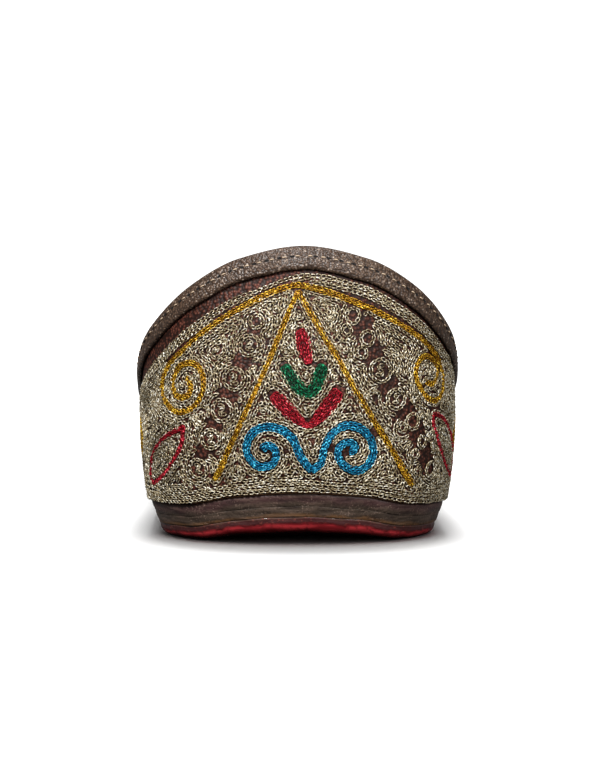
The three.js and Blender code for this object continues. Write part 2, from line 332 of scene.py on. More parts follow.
class Finish:
    # a material with its shader, and one method that makes any node
    def __init__(self, name, roughness, metallic=0.0, coat=0.0, specular=0.5):
        self.material = bpy.data.materials.new(name)
        self.material.use_nodes = True
        self.tree = self.material.node_tree
        self.shader = self.tree.nodes["Principled BSDF"]
        self.shader.inputs["Roughness"].default_value = roughness
        self.shader.inputs["Metallic"].default_value = metallic
        self.shader.inputs["Coat Weight"].default_value = coat
        self.shader.inputs["Specular IOR Level"].default_value = specular
        self.place = self.node("ShaderNodeTexCoord", {}, {}, "Object")

    def node(self, kind, settings, inputs, output=0):
        made = self.tree.nodes.new(kind)
        for key, value in settings.items():
            setattr(made, key, value)
        for key, value in inputs.items():
            if isinstance(value, Wire):
                self.tree.links.new(value.socket, made.inputs[key])
            else:
                made.inputs[key].default_value = value
        return Wire(self, made.outputs[output])

    def noise(self, size, detail=3):
        # size is in millimetres
        return self.node("ShaderNodeTexNoise", {},
                         {"Vector": self.place, "Scale": 1 / (size * mm), "Detail": detail})

    def cells(self, size):
        return self.node("ShaderNodeTexVoronoi", {}, {"Vector": self.place, "Scale": 1 / (size * mm)})

    def streaks(self, stretch, scale, detail):
        # noise drawn out along the layer's edge
        drawn = self.node("ShaderNodeMapping", {}, {0: self.place, 3: (1, 1, stretch)})
        return self.node("ShaderNodeTexNoise", {}, {"Vector": drawn, "Scale": scale, "Detail": detail})

    def band(self, value, low, high):
        # 0 below low, 1 above high
        settings = {"interpolation_type": "SMOOTHSTEP"}
        return self.node("ShaderNodeMapRange", settings, {0: value, 1: low, 2: high})

    def mix(self, factor, first, second):
        # of two colours
        return self.node("ShaderNodeMix", {"data_type": "RGBA"}, {0: factor, 6: first, 7: second}, 2)

    def share(self):
        # how far up its layer's edge a place is, from 0 to 1
        return self.node("ShaderNodeAttribute", {"attribute_name": "share"}, {}, "Fac")

    def feed(self, colour, roughness=None, bump=None, depth=0.1):
        # depth is in millimetres
        for socket, value in {"Base Color": colour, "Roughness": roughness}.items():
            if isinstance(value, Wire):
                self.tree.links.new(value.socket, self.shader.inputs[socket])
            elif value is not None:
                self.shader.inputs[socket].default_value = value
        if bump is not None:
            values = {"Strength": 1, "Distance": depth * mm, "Height": bump}
            normal = self.node("ShaderNodeBump", {}, values)
            self.tree.links.new(normal.socket, self.shader.inputs["Normal"])
        return self.material


def dye(red, green, blue):
    # display values from 0 to 255, as the shader's linear colour
    values = [v / 255 for v in (red, green, blue)]
    return (*[v / 12.92 if v <= 0.04045 else ((v + 0.055) / 1.055) ** 2.4 for v in values], 1)


def upperLeather():
    f = Finish("Upper leather", 0.5, specular=0.22)
    pebble = f.cells(0.72)
    broad = f.noise(14, 2)
    tone = f.mix(f.band(broad, 0.35, 0.65), dye(62, 36, 27), dye(78, 44, 35))
    # painted shade: the pebbles go dark brown in their hollows, where the bump is low
    colour = f.mix(f.band(pebble, 0.35, 0.6), tone, dye(36, 21, 16))
    # painted highlight: light specks on the pebbles' tops, where the bump is high
    colour = f.mix(f.band(pebble, 0.3, 0.14) * 0.5, colour, dye(128, 86, 72))
    return f.feed(colour, 0.4 + 0.25 * f.noise(1.2, 2), 1 - pebble, 0.22)


def liningLeather():
    f = Finish("Lining leather", 0.6)
    broad = f.band(f.noise(18, 3), 0.35, 0.65)
    fine = f.noise(0.6, 4)
    colour = f.mix(broad, dye(150, 112, 78), dye(171, 132, 95))
    return f.feed(f.mix(f.band(fine, 0.4, 0.7) * 0.35, colour, dye(120, 86, 58)), 0.55 + 0.15 * fine,
                  fine, 0.06)


def bindingLeather():
    f = Finish("Binding leather", 0.4, specular=0.4)
    pebble = f.cells(0.55)
    fine = f.noise(0.5, 2)
    broad = f.band(f.noise(9, 2), 0.35, 0.65)
    tone = f.mix(broad, dye(76, 59, 47), dye(89, 72, 59))
    # painted shade: darker in the pebbles' hollows, where the bump is low
    colour = f.mix(f.band(pebble, 0.3, 0.65) * 0.85, tone, dye(46, 35, 28))
    colour = f.mix(f.band(fine, 0.42, 0.3) * 0.7, colour, dye(40, 30, 24))
    # painted highlight: light specks over the grain, where it would catch the light
    colour = f.mix(f.band(f.cells(0.95), 0.3, 0.16) * 0.5, colour, dye(168, 152, 138))
    return f.feed(colour, 0.32 + 0.14 * f.noise(1, 2), 1 - pebble + 0.5 * fine, 0.2)


def soleBrown(name, top, bottom, low, high):
    # the bottom colour gives way to the top one between two shares of the layer's edge
    f = Finish(name, 0.5, specular=0.35)
    streak = f.streaks(7, 160, 6)
    blend = f.band(f.share() + 0.9 * f.noise(5, 3) - 0.45, low, high)
    colour = f.mix(blend, bottom, top)
    colour = f.mix(f.band(streak, 0.46, 0.68) * 0.4, colour, dye(106, 88, 78))
    colour = f.mix(f.band(streak, 0.46, 0.32) * 0.5, colour, dye(34, 24, 24))
    colour = f.mix(f.band(f.noise(0.7, 3), 0.5, 0.7) * 0.4, colour, dye(34, 25, 24))
    dust = f.band(f.noise(0.4, 2), 0.58, 0.68) * f.band(f.noise(6, 3), 0.4, 0.6)
    colour = f.mix(dust * 0.5, colour, dye(140, 120, 108))
    return f.feed(colour, 0.34 + 0.35 * streak, streak + 0.5 * f.noise(0.5, 3), 0.2)


def soleRed():
    f = Finish("Red sole leather", 0.4, coat=0.45)
    rough = f.noise(1.1, 5)
    streak = f.streaks(6, 130, 4)
    # the red's own tone wanders in streaks drawn out along the edge, and the lighter streaks are painted sheen
    # for the gloss
    colour = f.mix(f.band(streak, 0.38, 0.62), dye(116, 32, 37), dye(166, 56, 61))
    ragged = f.share() + 0.45 * f.noise(3.6, 4) - 0.22
    upward = f.band(ragged, 0.4, 0.66)
    colour = f.mix(upward, colour, dye(58, 21, 21))
    colour = f.mix(f.band(ragged, 0.84, 0.92) * 0.7, colour, dye(72, 48, 36))
    colour = f.mix(f.band(rough, 0.52, 0.7) * 0.5, colour, dye(54, 17, 19))
    chip = f.band(f.noise(0.7, 4), 0.58, 0.66)
    colour = f.mix(chip * upward * 0.5, colour, dye(122, 62, 50))
    return f.feed(colour, 0.14 + 0.4 * upward + 0.1 * rough, rough * upward + 0.12 * f.noise(1.6, 2), 0.2)


def insoleLeather():
    f = Finish("Insole leather", 0.6)
    fine = f.noise(0.5, 4)
    broad = f.band(f.noise(25, 3), 0.35, 0.7)
    colour = f.mix(broad, dye(138, 103, 72), dye(158, 122, 88))
    return f.feed(f.mix(f.band(fine, 0.45, 0.7) * 0.4, colour, dye(104, 76, 52)), 0.6, fine, 0.05)


def metalThread(name, dark, light, glint, metallic, roughness):
    # flat metal strip wound on cotton: its turns catch the light one by one, painted here as a shade colour, a
    # lit colour and a painted glint along each turn
    f = Finish(name, roughness, metallic)
    turns = f.noise(0.42, 1)
    drift = f.band(f.noise(7, 2), 0.35, 0.65)
    colour = f.mix(f.band(turns, 0.38, 0.56), dark, light)
    colour = f.mix(f.band(turns, 0.56, 0.64), colour, glint)
    colour = f.mix(drift * 0.25, colour, dark)
    return f.feed(colour, roughness + 0.25 * f.band(turns, 0.4, 0.7), turns, 0.1)


def silkThread(name, dark, light, glint):
    f = Finish(name, 0.32, metallic=0.3, specular=0.4)
    # painted light along the turns: a shade colour, a lit colour and painted glints
    turns = f.noise(0.42, 1)
    colour = f.mix(f.band(turns, 0.36, 0.54), dark, light)
    colour = f.mix(f.band(turns, 0.57, 0.65), colour, glint)
    return f.feed(colour, 0.26 + 0.3 * turns, turns, 0.1)


def plainFinish(name, colour, roughness):
    f = Finish(name, roughness)
    fine = f.noise(0.4, 3)
    return f.feed(f.mix(f.band(fine, 0.4, 0.7) * 0.5, colour, tuple(v * 0.5 for v in colour[:3]) + (1,)),
                  roughness, fine, 0.05)


leather = upperLeather()
lining = liningLeather()
bindingSkin = bindingLeather()
threads = {
    "silver": metalThread("Silver thread", dye(112, 97, 70), dye(194, 181, 152), dye(240, 238, 228),
                          0.45, 0.26),
    "gold": metalThread("Gold thread", dye(112, 74, 6), dye(188, 142, 24), dye(244, 212, 90),
                        0.45, 0.26),
    "red": silkThread("Red thread", dye(76, 0, 10), dye(150, 6, 30), dye(224, 84, 98)),
    "green": silkThread("Green thread", dye(0, 32, 20), dye(0, 82, 52), dye(34, 150, 104)),
    "blue": silkThread("Blue thread", dye(0, 66, 90), dye(0, 118, 156), dye(104, 208, 232)),
}
print("materials made")


def buildUpper():
    side = signedPlaces(toeEnd, heelSteps=44, sideSteps=70, throatSteps=26, vampSteps=40, toeSteps=34)
    share = np.linspace(0, 1, 30)
    cut = cutAt(side)
    t = cut[:, None] * share[None, :]
    outer = facePoint(side[:, None], t, 0.0)
    inner = facePoint(side[:, None], t, -last["wall"])
    s = np.abs(side)
    inner[:, 0, 2] = undersideAt(s, 1 - last["wall"] / footAt(s)) + stackAt(s)
    points = toScene(np.concatenate([outer.reshape(-1, 3), inner.reshape(-1, 3)]))
    n, m = len(side), len(share)
    faces = gridFaces(0, n, m)
    slots = [0] * len(faces)
    innerFaces = [face[::-1] for face in gridFaces(n * m, n, m)]
    faces += innerFaces
    slots += [1] * len(innerFaces)
    for i in range(n - 1):
        faces.append((i * m, n * m + i * m, n * m + (i + 1) * m, (i + 1) * m))
        slots.append(1)
        if s[i] <= throat + 1e-6 and s[i + 1] <= throat + 1e-6:
            top = m - 1
            here, after = i * m + top, (i + 1) * m + top
            faces.append((here, after, n * m + after, n * m + here))
            slots.append(0)
    upper = addMesh("Upper", points, faces, [leather, lining], slots)
    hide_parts("upper")


def curlShape(q):
    bent = np.maximum(np.minimum(q, last["curlBend"]) - last["curlStart"], 0)
    return bent * bent + 2 * bent * np.maximum(0, q - last["curlBend"])


def undersideAt(s, q):
    return liftAt(s) + curlAt(s) * curlShape(q) / curlShape(1.0)


buildUpper()
print("upper made")


def edgeLean(height):
    return last["soleInset"] + last["heelTaper"] * (1 - height / float(stackAt(0)))


def handCut(side, height, amount):
    # a hand-trimmed edge wanders a little
    broad = np.sin(side * 0.21 + 1.3) + 0.6 * np.sin(side * 0.53 + height * 0.9)
    return amount * (broad + 0.3 * np.sin(side * 1.37 + 2.1))


def soleLayer(name, node, material, thickness, base, insets, edge, wander, end=toeEnd):
    # edge: rows of share up the side, and how far it is drawn in there, both from the bottom
    side = signedPlaces(end, heelSteps=46, sideSteps=60, throatSteps=12, vampSteps=34, toeSteps=30)
    s = np.abs(side)[:, None]
    foot = footAt(s)
    flat = np.array([0, 0.15, last["curlStart"], 0.45, 0.58, 0.7, last["curlBend"], 0.92])

    def rowAt(share, drawn, across):
        # across runs from the middle, 0, to the trimmed edge, 1
        inset = insets[0] + (insets[1] - insets[0]) * share + drawn
        inset = inset + handCut(side[:, None], share * 3, wander)
        q = across * (1 - inset / foot)
        return pointAt(s, q * foot, base(s, q) + share * thickness(s))

    rings = [rowAt(share, drawn, np.ones(1)) for share, drawn in edge]
    bottom, top = rowAt(*edge[0], flat), rowAt(*edge[-1], flat)
    ring = np.concatenate([bottom] + rings + [top[:, ::-1]], 1)
    shares = np.array([0.0] * len(flat) + [share for share, _ in edge] + [1.0] * len(flat))
    shares = np.tile(shares, len(side))
    ring[..., 0] *= np.where(side < 0, -1, 1)[:, None]
    points = toScene(ring.reshape(-1, 3))
    n, m = ring.shape[:2]
    faces = gridFaces(0, n, m)
    if end < toeEnd:
        faces += [(j, j + 1, (n - 1) * m + j + 1, (n - 1) * m + j) for j in range(m - 1)]
    piece = addMesh(name, points, faces, [material], shares=shares)
    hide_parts(node)


softEdge = [(0.0, 0.03), (0.03, 0.0), (0.2, 0.0), (0.5, -0.03), (0.8, 0.0), (0.97, 0.0), (1.0, 0.03)]
topEdge = [(0.0, 0.03), (0.03, 0.0), (0.2, 0.0), (0.5, -0.04), (0.74, 0.02), (0.9, 0.18), (0.97, 0.4),
           (1.0, 0.8)]
bevelEdge = [(0.0, 1.6), (0.03, 1.1), (0.1, 0.6), (0.24, 0.2), (0.45, 0.0), (0.7, 0.06), (0.85, 0.2),
             (0.96, 0.16), (1.0, 0.3)]
touch = 0.02              # the layers are glued, so each one nearly reaches the next
liftBase = last["outsole"] + last["gap"] / 2
liftTop = 5.0             # above the floor at the heel, where the midsole starts
insoleInset = 2.7


def midBottom(s, q):
    return undersideAt(s, q) + stackAt(s) - last["gap"] * 1.5 - last["midsole"] + touch


def insoleBottom(s, q):
    return undersideAt(s, q) + stackAt(s)


def liftBottom(s, q):
    return undersideAt(s, q) + liftBase


def liftThickness(s):
    return stackAt(s) - 1.5 * last["gap"] - last["midsole"] - liftBase


def evenThickness(value):
    def thickness(s):
        return value + 0 * s
    return thickness


def buildSole():
    soleLayer("Outsole", "outsole", soleRed(), evenThickness(liftBase - touch),
              undersideAt, (edgeLean(0), edgeLean(liftBase)), bevelEdge, 0.13)
    liftBrown = soleBrown("Lift leather", dye(62, 52, 44), dye(98, 72, 48), 0.0, 0.4)
    soleLayer("Heel_lift", "heel_lift", liftBrown, liftThickness, liftBottom,
              (edgeLean(liftBase), edgeLean(liftTop)), softEdge, 0.1, placeAlong(last["liftFront"]))
    midBrown = soleBrown("Midsole leather", dye(66, 46, 45), dye(62, 52, 44), 0.0, 0.6)
    soleLayer("Midsole", "midsole", midBrown,
              evenThickness(last["midsole"] + last["gap"] * 1.4), midBottom,
              (edgeLean(liftTop), last["soleInset"]), topEdge, 0.12)
    soleLayer("Insole", "insole", insoleLeather(), evenThickness(last["insole"]),
              insoleBottom, (insoleInset, insoleInset), softEdge, 0.0)


buildSole()
print("sole made")

binding = {
    "outside": 3.7,      # depth on the outer face, in mm
    "inside": 4.5,
    "thickness": 1.0,
    "gap": 0.3,
    "stitchDepth": 1.0,  # of the running stitch below the cut edge
    "pitch": 2.8,
    "threadReach": 0.62,  # half the length of a stitch
    "threadRadius": 0.16,
    "holeShift": 1.15,   # from a stitch's middle
    "holeReach": 0.1,
    "hole": (0.55, 0.22),  # half its length and half its width
}


def walk(s, t, heading, distance):
    # over the outer face for a distance, always heading the same way
    strides, nudge = 8, 1e-3
    s, t = np.array(s, float), np.array(t, float)
    for _ in range(strides):
        here = lastPoint(s, t)
        alongS = (lastPoint(s + nudge, t) - here) / nudge
        alongT = (here - lastPoint(s, t - nudge)) / nudge
        flat = np.cross(alongS, alongT)
        size = np.sum(flat * flat, -1)
        stride = heading * (distance / strides)
        s = np.maximum(s + np.sum(np.cross(stride, alongT) * flat, -1) / size, 0)
        t = np.minimum(t + np.sum(np.cross(alongS, stride) * flat, -1) / size, 1)
    return s, t


def toplineFrame(side):
    # edge, outward and downward directions for places along the collar's cut edge
    s = np.abs(side)
    cut = cutAt(s)
    step = 0.05
    after = np.minimum(s + step, throat)
    before = np.maximum(s - step, 0)
    edge = lastPoint(s, cut)
    along = lastPoint(after, cutAt(after)) - lastPoint(before, cutAt(before))
    middleLine = (s < 1e-6) | (s > throat - 1e-6)
    along[middleLine] = np.where(s[middleLine, None] < 1, (1.0, 0, 0), (-1.0, 0, 0))
    out = lastNormal(s, cut)
    down = np.cross(along, out)
    down /= np.linalg.norm(down, axis=-1, keepdims=True)
    return s, cut, edge, out, down


def bindingPoint(side, depth, offset, frameOf=None):
    # depth is down from the cut edge, negative on the fold above it
    s, cut, edge, out, down = frameOf or toplineFrame(side)
    if depth <= 0:
        point = edge + out * offset + down * depth
    else:
        ws, wt = walk(s, cut, down, depth)
        point = lastPoint(ws, wt) + lastNormal(ws, wt) * offset
    middleLine = (s < 1e-6) | (s > throat - 1e-6)
    point[..., 0] = np.where(middleLine, 0, point[..., 0]) * np.where(side < 0, -1, 1)
    return point


def bindingProfile():
    out = binding["gap"]
    thick = binding["thickness"]
    inn = -last["wall"] - binding["gap"]
    deep, inDeep = binding["outside"], binding["inside"]
    centre = (out + inn) / 2
    radius = (out - inn) / 2 + thick
    outerArc = [(-radius * 0.82 * math.sin(a), centre + radius * math.cos(a))
                for a in np.linspace(0.15, math.pi - 0.15, 9)]
    return ([(deep, out), (deep + 0.12, out + 0.25 * thick), (deep, out + 0.75 * thick),
             (deep - 0.45, out + thick), (deep * 0.62, out + thick + 0.12),
             (deep * 0.38, out + thick - 0.05), (deep * 0.2, out + thick + 0.1), (0, out + thick)]
            + outerArc
            + [(0, inn - thick), (inDeep * 0.5, inn - thick), (inDeep - 0.4, inn - thick),
               (inDeep, inn - 0.7 * thick), (inDeep, inn), (inDeep * 0.5, inn), (0.2, inn),
               (-0.25, inn + 0.3), (-0.25, out - 0.3), (0.2, out), (deep * 0.5, out)])


def buildBinding():
    side = signedPlaces(throat, heelSteps=60, sideSteps=80, throatSteps=34, vampSteps=1, toeSteps=1)
    side = side[:-1]
    frameOf = toplineFrame(side)
    wobble = 0.07 * np.sin(side * 0.33 + 0.8) + 0.05 * np.sin(side * 0.91)
    rings = []
    for depth, offset in bindingProfile():
        point = bindingPoint(side, depth, offset, frameOf)
        if depth > 1.0 and offset > 0.5:
            point = point + wobble[:, None] * [0, 0, 1]
        rings.append(point)
    ring = np.stack(rings, 1)
    n, m = ring.shape[:2]
    faces = gridFaces(0, n, m, closedRows=True, closedColumns=True)
    piece = addMesh("Topline_binding", toScene(ring.reshape(-1, 3)), faces, [bindingSkin])
    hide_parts("topline_binding")


buildBinding()
print("binding made")

chain = {
    "silver": {"pitch": 1.2, "width": 0.92, "thread": 0.145, "stray": 0.075},
    "gold": {"pitch": 1.0, "width": 0.76, "thread": 0.15, "stray": 0.06},
    "red": {"pitch": 1.0, "width": 0.8, "thread": 0.16, "stray": 0.09},
    "green": {"pitch": 1.0, "width": 0.8, "thread": 0.16, "stray": 0.09},
    "blue": {"pitch": 1.05, "width": 0.8, "thread": 0.16, "stray": 0.09},
}
# along the stitch, across it, up from the leather in mm, and thickness, for one strand of a link
linkShape = [(-0.12, 0.08, 0.0, 0.8), (0.32, 0.98, 0.12, 1.0), (0.82, 0.95, 0.26, 1.0),
             (1.2, 0.1, 0.16, 0.9)]
strandCorners = 12
linkCorners = 2 * strandCorners
linkTriangles = 40
stitched = {name: [] for name in chain}


def lengthAlong(points):
    return np.concatenate([[0], np.cumsum(np.linalg.norm(np.diff(points, axis=0), axis=1))])


def resample(points, count):
    length = lengthAlong(points)
    at = np.linspace(0, length[-1], count)
    return np.stack([np.interp(at, length, points[:, k]) for k in range(points.shape[1])], 1)


def stitchRow(colour, line, surface):
    # line is a route on a flat chart, and surface lays chart points on the leather
    kind = chain[colour]
    line = resample(np.asarray(line, float), max(8, len(line)))
    length = lengthAlong(surface(line)[0])
    if length[-1] < 1.5 * kind["pitch"]:
        return
    count = max(2, int(round(length[-1] / kind["pitch"])))
    at = np.linspace(0, length[-1], count + 1)
    at[1:-1] += rng.uniform(-0.09, 0.09, count - 1) * kind["pitch"]
    chartPoints = np.stack([np.interp(at, length, line[:, k]) for k in range(2)], 1)
    stitched[colour].append((chartPoints, surface))


def linkMesh(colour):
    kind = chain[colour]
    bases, tips, normals = [], [], []
    for surface in {id(row[1]): row[1] for row in stitched[colour]}.values():
        rows = [row[0] for row in stitched[colour] if row[1] is surface]
        point, normal = surface(np.concatenate(rows))
        start = 0
        for row in rows:
            end = start + len(row)
            bases.append(point[start:end - 1])
            tips.append(point[start + 1:end])
            normals.append(normal[start:end - 1])
            start = end
    base, tip, normal = np.concatenate(bases), np.concatenate(tips), np.concatenate(normals)
    along = tip - base
    across = np.cross(normal, along)
    across /= np.linalg.norm(across, axis=1, keepdims=True)
    n = len(base)
    reach = (kind["width"] / 2 - kind["thread"] * 0.8) * rng.uniform(0.82, 1.12, n)
    rise = rng.uniform(-0.05, 0.14, n)
    # no two links sit quite the same
    drift = kind["stray"] * rng.normal(0, 0.6, n)
    twist = kind["stray"] * rng.normal(0, 1.0, n)
    vertices = np.empty((n, 2, 4, 3, 3))
    section = ((1, -0.5), (0, 1), (-1, -0.5))
    for strand, sign in enumerate((-1, 1)):
        for k, (forward, wide, up, thick) in enumerate(linkShape):
            centre = (base + along * forward + across * (sign * wide * reach + drift)[:, None]
                      + across * (twist * (forward - 0.5))[:, None]
                      + normal * (up + rise + kind["thread"] * 0.6)[:, None])
            radius = kind["thread"] * thick
            for corner, (side, lift) in enumerate(section):
                place = centre + across * (side * radius) + normal * (lift * radius)
                vertices[:, strand, k, corner] = place
    quads, caps = [], []
    for strand in range(2):
        for k in range(3):
            for corner in range(3):
                a, b = (strand * 4 + k) * 3 + corner, (strand * 4 + k) * 3 + (corner + 1) % 3
                quads.append((a, b, b + 3, a + 3))
        first = strand * strandCorners
        caps += [(first + 2, first + 1, first), (first + 9, first + 10, first + 11)]
    return vertices.reshape(-1, 3), np.array(quads), np.array(caps), n


def repeatedPiece(name, points, size, quads, caps, material):
    # one shape over and over: its corners lie size apart in the list of points
    start = np.arange(0, len(points), size)[:, None, None]
    allQuads = (quads[None] + start).reshape(-1, 4)
    allCaps = (caps[None] + start).reshape(-1, 3)
    mesh = bpy.data.meshes.new(name)
    mesh.vertices.add(len(points))
    mesh.vertices.foreach_set("co", points.ravel())
    corners = np.concatenate([allQuads.ravel(), allCaps.ravel()]).astype(np.int32)
    mesh.loops.add(len(corners))
    mesh.loops.foreach_set("vertex_index", corners)
    starts = np.concatenate([np.arange(0, allQuads.size, 4), allQuads.size + np.arange(0, allCaps.size, 3)])
    mesh.polygons.add(len(starts))
    mesh.polygons.foreach_set("loop_start", starts.astype(np.int32))
    mesh.update(calc_edges=True)
    mesh.polygons.foreach_set("use_smooth", np.ones(len(starts), bool))
    mesh.materials.append(material)
    mesh.validate()
    piece = bpy.data.objects.new(name, mesh)
    bpy.context.scene.collection.objects.link(piece)
    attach(piece, "root")
    return piece


counter = {
    "radius": 38.0,        # of the wall about the heel's centre
    "seam": 164.0,         # where the counter panel ends on each side
    "scrolls": [("gold", 52, 22.0), ("blue", 76, 18.6), ("gold", 99, 17.6), ("blue", 122, 17.8),
                ("gold", 146, 19.6)],
    "rings": [(64, 19.6), (87.5, 17.8), (110.5, 17.2), (134, 18.2), (157.5, 21.0)],
    "eyeDistance": 560.0,  # the motif is drawn as it looks from here
    "eyeHeight": 64.5,
    "eyeShift": (0.15, 0.1),
    "drawingPlane": -3.0,  # along the foot, where the drawing is at full size
    "guessRadius": 40,     # of the wall, for the first guess at a place on it
    "slopeRadius": 42,
    "leastSlope": 12,
    "topRowPitch": 0.85,
    "seatRows": (0.65, 1.55),
    "seamPitch": 0.9,
    # bare leather under the binding, at these places from left to right
    "marginPlaces": (-100, -45, -25, -13, 0, 20, 100),
    "margins": (2.2, 4.0, 3.1, 2.5, 0.5, 0.9, 0.9),
}
heelArc = counter["radius"] * math.pi / 2


def placeOnCounter(a):
    size = np.abs(a)
    return np.where(size < heelArc, size * last["heelCentre"] / counter["radius"], heelEnd + size - heelArc)


def onLeather(across, s, t):
    # places on the outer face and their normals; the left half's are mirrored
    side = np.where(across < 0, -1.0, 1.0)
    flip = np.stack([side, np.ones(len(s)), np.ones(len(s))], 1)
    return toScene(facePoint(side * s, t, 0.0)) / mm, lastNormal(s, t) * flip


def counterSurface(chart):
    s = placeOnCounter(chart[:, 0])
    return onLeather(chart[:, 0], s, tAtHeight(s, chart[:, 1]))


def seenFromBehind(points):
    # a place seen from behind the heel, in mm from its centre line and above the floor, on the chart
    points = np.asarray(points, float)
    side = np.where(points[:, 0] < 0, -1.0, 1.0)
    right, down = counter["eyeShift"]
    angle = np.arcsin(np.clip(np.abs(points[:, 0]) / counter["guessRadius"], 0, 0.97))
    scale = np.ones(len(points))
    for _ in range(8):
        z = counter["eyeHeight"] + (points[:, 1] - down - counter["eyeHeight"]) * scale
        s = angle * last["heelCentre"]
        here = lastPoint(s, tAtHeight(s, z))
        wanted = side * ((points[:, 0] + right) * scale - leanAt(z, here[:, 1]))
        slope = np.maximum(counter["slopeRadius"] * np.cos(angle), counter["leastSlope"])
        angle = np.clip(angle + (wanted - here[:, 0]) / slope, 0, 1.5)
        scale = 1 + (here[:, 1] - counter["drawingPlane"]) / counter["eyeDistance"]
    return np.stack([side * angle * counter["radius"], z], 1)


def arcLengths(s):
    shares = np.linspace(1, 0, 49)
    points = lastPoint(s[:, None], shares[None, :])
    steps = np.linalg.norm(np.diff(points, axis=1), axis=2)
    return shares, np.concatenate([np.zeros((len(s), 1)), np.cumsum(steps, 1)], 1)


def vampSurface(chart):
    # x is the distance over the leather from the ridge, and y runs along the foot
    x, y = np.abs(chart[:, 0]), chart[:, 1]
    past = y > last["toeCentre"]
    angle = np.where(past, math.pi / 2 + np.arctan2(y - last["toeCentre"], x), math.pi / 2)
    s = np.where(past, toeStart + last["toeRadius"] * (angle - math.pi / 2), placeAlong(y))
    s = np.minimum(s, toeEnd)
    reach = np.where(past, np.hypot(x, y - last["toeCentre"]), x)
    shares, lengths = arcLengths(s)
    t = np.array([np.interp(r, row, shares) for r, row in zip(reach, lengths)])
    return onLeather(chart[:, 0], s, t)


def smoothLine(points, step=0.5):
    # a curve through listed points
    points = np.asarray(points, float)
    padded = np.concatenate([[2 * points[0] - points[1]], points, [2 * points[-1] - points[-2]]])
    out = []
    for i in range(len(points) - 1):
        p0, p1, p2, p3 = padded[i:i + 4]
        n = max(3, int(np.linalg.norm(p2 - p1) / step))
        for t in np.linspace(0, 1, n, endpoint=False):
            out.append(0.5 * (2 * p1 + (p2 - p0) * t + (2 * p0 - 5 * p1 + 4 * p2 - p3) * t ** 2
                              + (3 * p1 - p0 - 3 * p2 + p3) * t ** 3))
    out.append(points[-1])
    return np.array(out)


def scroll(centre, start, turns, outer, inner):
    # a spiral that winds in; turns is negative for clockwise, angles are in degrees
    n = int(abs(turns) * 40)
    angle = np.radians(start) + np.linspace(0, turns * 2 * math.pi, n)
    radius = np.linspace(outer, inner, n)
    return np.stack([centre[0] + radius * np.cos(angle), centre[1] + radius * np.sin(angle)], 1)


def beside(line, distance):
    # a parallel line
    tangent = np.gradient(line, axis=0)
    tangent /= np.maximum(np.linalg.norm(tangent, axis=1, keepdims=True), 1e-9)
    return line + distance * np.stack([-tangent[:, 1], tangent[:, 0]], 1)


def handDrawn(line, amount=0.1):
    phase = rng.uniform(0, 6.28, 4)
    at = np.arange(len(line))
    shift = amount * (np.sin(at * 0.11 + phase[0]) + 0.6 * np.sin(at * 0.29 + phase[1]))
    return beside(line, shift[:, None]) if len(line) > 3 else line


